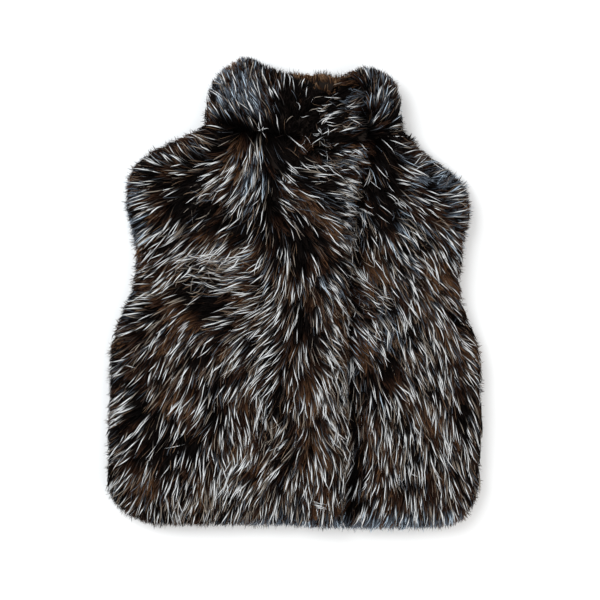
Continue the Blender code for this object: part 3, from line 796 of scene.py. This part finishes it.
# Where strands end, in metres: drawn back inside the rim, and turned down over it or past a seam
UNDER_ENDS = {
    "back": {"ends": -0.0028, "scatter": 0.0028, "kept": 1.0},
    "over": {"ends": 0.0005, "scatter": 0.002, "past_seam": 0.006},
}
GUARD_ENDS = {
    "back": {"ends": -0.003, "scatter": 0.0034, "kept": 0.6},
    "over": {"ends": 0.002, "scatter": 0.002, "past_seam": 0.008},
}


def trimmed(path, others, region, source, back, over):
    """Strands drawn back and turned down at the edges, how far they hang, and their values."""
    path, keep = drawn_back(path, source, **back)
    others = [values[keep] for values in others]
    path, hang, bent = over_the_edge(path[keep], region, source, **over)
    return [values[bent] for values in (path, hang, *others)]


def underfur(name, coat, node, seed, tones=under_tones):
    """The dense dark pile of a panel, in locks."""
    source = np.random.default_rng(seed)
    x, y = roots(root_masks[node], coat["lock_spacing"], seed)
    size = source.uniform(*coat["under_length"], len(x))
    path = locks(coat["flow"], x, y, size, math.radians(9), source)
    lock_depth = np.repeat(source.uniform(0.0, 0.0035, len(x)), coat["lock_count"])
    tone = np.repeat(tones(path[:, -2, 0], path[:, -2, 1], source), coat["lock_count"])
    radius = coat["lock_spacing"] * 0.78
    path = strands_in_locks(path, source, count=coat["lock_count"], radius=radius, closing=(0.35, 0.9))
    own = source.uniform(0, 1, len(tone)) < OWN_TONE_SHARE
    tone[own] = tones(path[own, -2, 0], path[own, -2, 1], source)
    path, hang, tone, lock_depth = trimmed(path, (tone, lock_depth), regions[node], source, **UNDER_ENDS)
    total = len(path)
    start = source.uniform(0.0065, 0.0095, total)
    end = lock_depth + source.uniform(0.0, 0.0035, total)
    points = lifted(path, regions[node], hang, start, end, source.uniform(0.0, 0.0015, total))
    width = source.uniform(*coat["under_width"], total)
    return mesh_piece(name, *strands(points, width, tone, source.normal(0, 0.6, total), source), UNDERFUR)


def joined(parts):
    """Several sets of vertices, faces and UVs as one."""
    vertices, groups, uvs, offset = [], [], [], 0
    for part_vertices, part_faces, part_uvs in parts:
        vertices.append(part_vertices)
        groups += [faces + offset for faces in part_faces]
        uvs += part_uvs
        offset += len(part_vertices)
    return np.concatenate(vertices), groups, uvs


# How thickly hair grows: everywhere, by noise, in pale places (partly a painted highlight), less so where
# shade is painted in hollows and the furrow, and in tangled ones
GUARD_GROWTH = (0.5, 0.58, 0.75, 0.85, 0.5)
FINE_GROWTH = (0.62, 0.4, 0.45, 1.1, 0.0)

# Hair over the underfur: strong and thin guard hairs, and fine hairs in between
# Columns: share of the coat's length, wander in degrees, depth, width, steps, growth and tones
HAIR_KINDS = {
    "strong": (1.0, 7, (-0.002, 0.0004), (0.0008, 0.0018), 4, GUARD_GROWTH, guard_tones),
    "thin": (0.8, 11, (-0.0012, 0.0025), (0.0005, 0.0011), 4, GUARD_GROWTH, thin_tones),
    "fine": (0.7, 11, (-0.001, 0.0034), (0.0004, 0.0008), 3, FINE_GROWTH, fine_tones),
}


def grown(growth, x, y):
    """The share of the hair that grows at each point."""
    level, noise, paler, less_in_shade, tangled = growth
    share = level + noise * thick_noise(x, y) + paler * amount(PALE_AND_HIGHLIGHT_PLACES, x, y) - less_in_shade * hollow_shade(x, y)
    return np.clip(share + tangled * amount(TANGLED_PLACES, x, y), 0.05, 1.0)


def tufts(node, seed):
    """The tufts that stand out on one panel."""
    source = np.random.default_rng(seed)
    parts = []
    for across, down, first, last, count, length in TUFTS.get(node, ()):
        spread = source.normal(0, TUFT_SPREAD * length * MM, (2, count))
        x = (across - MIDDLE_ACROSS) * PIXEL_MM * MM + spread[0]
        y = (MIDDLE_DOWN - down) * PIXEL_MM * MM + spread[1]
        scatter = source.normal(0, TUFT_SCATTER * (last - first), count)
        heading = np.radians(np.linspace(first, last, count) + scatter)
        size = length * MM * source.uniform(*TUFT_SHARES, count)
        share = np.linspace(0, 1, TUFT_POINTS)
        turned = heading[:, None] - TUFT_TURN * share
        reach = size[:, None] * share
        path = np.stack([x[:, None] + reach * np.cos(turned), y[:, None] + reach * np.sin(turned)], 2)
        start, end, bow = (np.full(count, value) for value in (TUFT_ROOT, TUFT_TIP, TUFT_BOW))
        points = lifted(path, regions[node], np.zeros(path.shape[:2]), start, end, bow)
        width = source.uniform(0.0006, 0.0012, count)
        tone = guard_tones(x, y, source)
        parts.append(strands(points, width, tone, source.uniform(0, 2, count), source, ring=3))
    return parts


def guard_hairs(coat, node, seed):
    """The hair over the underfur: strong hairs alone or in twos, thin and fine ones between."""
    parts = []
    source = np.random.default_rng(seed)
    for number, (kind, hair) in enumerate(HAIR_KINDS.items()):
        reach, wander, depth, widths, steps, growth, tones = hair
        x, y = roots(root_masks[node], coat[f"{kind}_spacing"], seed + number)
        size = source.uniform(*coat["guard_length"], len(x)) * reach
        path = locks(coat["flow"], x, y, size, math.radians(wander), source, steps)
        shown = path[:, -2]
        keep = source.uniform(0, 1, len(x)) < grown(growth, shown[:, 0], shown[:, 1])
        path, shown = path[keep], shown[keep]
        tone = tones(shown[:, 0], shown[:, 1], source)
        if kind == "strong":
            path = strands_in_locks(path, source, count=2, radius=0.0028, closing=(0.3, 1.0))
            tone = np.repeat(tone, 2)
            keep = (np.arange(len(path)) % 2 == 0) | (source.uniform(0, 1, len(path)) < TWIN_SHARE)
            path, tone = path[keep], tone[keep]
        path, hang, tone = trimmed(path, (tone,), regions[node], source, **GUARD_ENDS)
        total = len(path)
        start = source.uniform(0.004, 0.007, total)
        end = source.uniform(*depth, total)
        points = lifted(path, regions[node], hang, start, end, source.uniform(0.0, 0.002, total))
        width = source.uniform(*widths, total)
        if kind == "strong":
            tangled = np.clip(amount(TANGLED_PLACES, path[:, 0, 0], path[:, 0, 1]), 0, 1)
            width = width * (1 - TANGLED_THINNER * tangled)
            parts.append(strands(points, width, tone, source.uniform(0, 2, total), source, ring=3))
        else:
            parts.append(strands(points, width, tone, source.normal(0, 0.5, total), source))
    parts += tufts(node, seed + 60)
    return mesh_piece(f"{node}_guard_hairs", *joined(parts), GUARD_HAIR)


# The cloth: its thickness, how near its node's bottom and top it may come, and the least slope it covers
CLOTH_THICKNESS = 0.0018
CLOTH_CLEARANCE = 0.0008
LEAST_SLOPE = 0.05


def shell(name, node, depth, upwards):
    """A thin cloth on a node's form, moved into the pile."""
    mesh = nodes[node].data
    made = bmesh.new()
    made.from_mesh(mesh)
    made.normal_update()
    wrong = [f for f in made.faces if f.normal.z * upwards < LEAST_SLOPE]
    bmesh.ops.delete(made, geom=wrong, context="FACES")
    bmesh.ops.remove_doubles(made, verts=made.verts, dist=1e-5)
    made.normal_update()
    low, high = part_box(node)
    for vertex in made.verts:
        vertex.co -= vertex.normal * depth
        vertex.co.z = min(max(vertex.co.z, low.z + CLOTH_CLEARANCE), high.z - CLOTH_CLEARANCE)
        for _ in range(3):
            x, y = vertex.co.x, vertex.co.y
            short = max(CLOTH_INSET - float(rim(x, y)), 0.0)
            inward = inwards(rim, x, y)
            vertex.co.x += short * inward[0]
            vertex.co.y += short * inward[1]
    shell_mesh = bpy.data.meshes.new(name)
    made.to_mesh(shell_mesh)
    made.free()
    shell_mesh.shade_smooth()
    shell_mesh.materials.clear()
    shell_mesh.materials.append(CLOTH)
    piece = placed(name, shell_mesh)
    solid = piece.modifiers.new("thickness", "SOLIDIFY")
    solid.thickness = CLOTH_THICKNESS
    solid.offset = -1.0 if upwards > 0 else 1.0
    return piece


# How far inside the outline the back's pile stays, and the strands of its locks
BACK_INSET = 0.001
BACK_COUNT = 9


def back_fur(node, spacing, seed):
    """The pile of the underside, pressed flat by the garment's weight."""
    source = np.random.default_rng(seed)
    x, y = roots(masks[node], spacing, seed)
    size = source.uniform(0.036, 0.05, len(x))
    path = locks(BACK_FLOW, x, y, size, math.radians(12), source)
    tone = np.repeat(under_tones(x, y, source), BACK_COUNT)
    path = strands_in_locks(path, source, count=BACK_COUNT, radius=spacing * 0.8, closing=(0.3, 0.8))
    path = over_the_edge(path, regions[node], source, ends=-0.009, scatter=0.0025, past_seam=0.008)[0]
    keep = rim(path[..., 0], path[..., 1]).min(1) > BACK_INSET
    path, tone = path[keep], tone[keep]
    total = len(path)
    pale = source.uniform(0, 1, total) < BACK_PALE
    tone[pale] = np.where(source.uniform(0, 1, pale.sum()) < 0.5, WHITE, CREAM)
    start = source.uniform(0.004, 0.007, total)
    end = np.where(pale, 0.0, source.uniform(0.0002, 0.003, total))
    z = pile_bottom(path[..., 0], path[..., 1]) + depths(path, start, end, risen=0.5)[1]
    points = np.concatenate([path, np.maximum(z, LOWEST)[..., None]], axis=2)
    width = np.where(pale, 0.0014, source.uniform(0.002, 0.0032, total))
    pile = strands(points, width, tone, source.normal(0, 0.2, total), source)
    return mesh_piece(f"{node}_fur", *pile, UNDERFUR)


# The fringe: how far inside the outline its roots are, how far its tips reach, how much a strand turns, and
# how much higher some stand beneath the collar's folded lobes
FRINGE_ROOTS = (0.003, 0.014)
FRINGE_REACH, FRINGE_MOST = 0.0032, 0.011
FRINGE_TURN = 0.12
FRINGE_RAISED = 0.011


def rim_fringe(node, spacing, width, spread, seed):
    """Hair that stands out sideways round the edge, between the front's pile and the back's."""
    source = np.random.default_rng(seed)
    x, y = roots(masks[node], spacing, seed)
    inside = rim(x, y)
    keep = (inside > FRINGE_ROOTS[0]) & (inside < FRINGE_ROOTS[1])
    x, y, inside = x[keep], y[keep], inside[keep]
    out = -inwards(rim, x, y)
    angle = np.arctan2(out[:, 1], out[:, 0]) + source.normal(0, spread, len(x))
    reach = source.exponential(FRINGE_REACH, len(x)) * clumps(x, y, strength=0.9, least=0.2, most=2.2)
    size = inside - FRINGE_ROOTS[0] + np.minimum(reach, FRINGE_MOST)
    share = np.linspace(0, 1, UNDER_STEPS + 1)
    turned = angle[:, None] + source.normal(0, FRINGE_TURN, len(x))[:, None] * share
    across = x[:, None] + size[:, None] * share * np.cos(turned)
    up = y[:, None] + size[:, None] * share * np.sin(turned)
    low, high = source.uniform(0.0015, 0.012, len(x)), source.uniform(0.003, 0.014, len(x))
    under_lobe = np.maximum(regions["collar_front_left"](x, y), regions["collar_front_right"](x, y)) > 0
    raised = FRINGE_RAISED * under_lobe * (np.arange(len(x)) % 3) / 2
    z = (high + raised)[:, None] * (1 - share) + (low + raised)[:, None] * share
    points = np.stack([across, up, z], 2)
    tone = under_tones(x, y, source)
    tone = retoned(tone, FRINGE_PALE, CREAM, source)
    # Ice tips in the cool sheen places: a painted cool sheen that brightens the fringe at the hem and edges
    tone = retoned(tone, FRINGE_ICE_SHEEN * amount(COOL_SHEEN_PLACES, x, y), ICE, source)
    thick = source.uniform(*width, len(x))
    fringe = strands(points, thick, tone, source.normal(0, 0.9, len(x)), source)
    return mesh_piece(f"{node}_fringe", *fringe, UNDERFUR)


# Hair of each panel: spacings, lengths and widths in metres
BODY_COAT = {
    "lock_spacing": 0.0066, "lock_count": 9, "under_length": (0.026, 0.036), "under_width": (0.0012, 0.002),
    "strong_spacing": 0.01, "thin_spacing": 0.0074, "fine_spacing": 0.0046, "guard_length": (0.024, 0.046),
}
COLLAR_COAT = {
    "lock_spacing": 0.0056, "lock_count": 11,
    "under_length": (0.022, 0.032), "under_width": (0.0009, 0.0016),
    "strong_spacing": 0.0112, "thin_spacing": 0.008, "fine_spacing": 0.0042, "guard_length": (0.022, 0.036),
}
FACING_COAT = dict(COLLAR_COAT, lock_count=9, under_length=(0.014, 0.022))
COATS = {
    "front_right": dict(BODY_COAT, flow=from_pixels(FRONT_RIGHT_FLOW)),
    "front_left": dict(BODY_COAT, flow=from_pixels(FRONT_LEFT_FLOW)),
    "collar_front_right": dict(COLLAR_COAT, flow=from_pixels(COLLAR_RIGHT_FLOW)),
    "collar_front_left": dict(COLLAR_COAT, flow=from_pixels(COLLAR_LEFT_FLOW)),
    "collar_facing": dict(FACING_COAT, flow=from_pixels(FACING_FLOW)),
}

dressed = {}
for seed, node in enumerate(("front_right", "front_left", "collar_front_right", "collar_front_left")):
    dressed[node] = [
        underfur(f"{node}_underfur", COATS[node], node, 21 + 3 * seed),
        guard_hairs(COATS[node], node, 22 + 3 * seed),
    ]
dressed["collar_facing"] = [
    underfur("collar_facing_fur", COATS["collar_facing"], "collar_facing", 41, facing_tones),
]
dressed["back"] = [
    back_fur("back", spacing=0.0115, seed=43),
    rim_fringe("back", spacing=0.0016, width=(0.0005, 0.0012), spread=0.45, seed=44),
]
dressed["collar_back"] = [
    back_fur("collar_back", spacing=0.01, seed=45),
    rim_fringe("collar_back", spacing=0.0013, width=(0.0004, 0.0009), spread=0.6, seed=46),
]

# Each cloth: its flat size, its slot, how deep it lies in the pile, and whether its pile faces up or down
CUTS = {
    "front_right": ((0.33, 0.5), "front_fur", 0.0085, 1),
    "front_left": ((0.21, 0.5), "front_fur", 0.0085, 1),
    "collar_front_right": ((0.21, 0.11), "collar_fur", 0.0075, 1),
    "collar_front_left": ((0.085, 0.095), "collar_fur", 0.0075, 1),
    "collar_facing": ((0.24, 0.085), "facing_fur", 0.004, 1),
    "back": ((0.47, 0.5), "back_fur", 0.006, -1),
    "collar_back": ((0.26, 0.075), "back_fur", 0.006, -1),
}
for node, (flat, slot_name, depth, upwards) in CUTS.items():
    cloth = shell(f"{node}_cloth", node, depth, upwards)
    for piece in [cloth] + dressed[node]:
        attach(piece, "root")
        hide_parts(node)
    bpy.context.view_layer.update()
    evaluated = cloth.evaluated_get(bpy.context.evaluated_depsgraph_get())


def floor():
    """The pale surface under the garment."""
    made = bmesh.new()
    bmesh.ops.create_grid(made, x_segments=1, y_segments=1, size=4.0)
    mesh = bpy.data.meshes.new("floor")
    made.to_mesh(mesh)
    made.free()
    material, _, shader = new_material("pale_floor", roughness=0.9, specular=0.2)
    shader.inputs["Base Color"].default_value = (0.9, 0.9, 0.9, 1.0)
    mesh.materials.append(material)
    placed("floor", mesh)


def area_light(name, place, size, power, colour):
    """A square lamp that shines on the middle of the garment."""
    data = bpy.data.lights.new(name, "AREA")
    data.shape, data.size, data.energy, data.color = "SQUARE", size, power, colour
    lamp = placed(name, data)
    lamp.location = place
    lamp.rotation_euler = (-Vector(place)).to_track_quat("-Z", "Y").to_euler()


def camera():
    """Straight above, framed as the photograph is."""
    data = bpy.data.cameras.new("camera")
    data.lens, data.sensor_width = 85.0, 36.0
    seen, level = 0.762, 0.035
    across, up = 0.0076, -0.0076
    distance = seen / 2 / (data.sensor_width / 2 / data.lens)
    view = placed("camera", data)
    view.location = (across, up, level + distance)
    bpy.context.scene.camera = view


floor()
area_light("window", place=(-1.2, 0.9, 1.7), size=1.6, power=42.0, colour=(0.93, 0.97, 1.0))
area_light("fill", place=(1.3, -0.9, 1.5), size=1.6, power=16.0, colour=(1.0, 0.98, 0.95))
world = bpy.data.worlds.new("studio")
world.use_nodes = True
background = world.node_tree.nodes["Background"]
background.inputs["Color"].default_value = (1.0, 1.0, 1.0, 1.0)
background.inputs["Strength"].default_value = 0.74
bpy.context.scene.world = world
bpy.context.scene.view_settings.view_transform = "Standard"
bpy.context.scene.view_settings.look = "None"
camera()
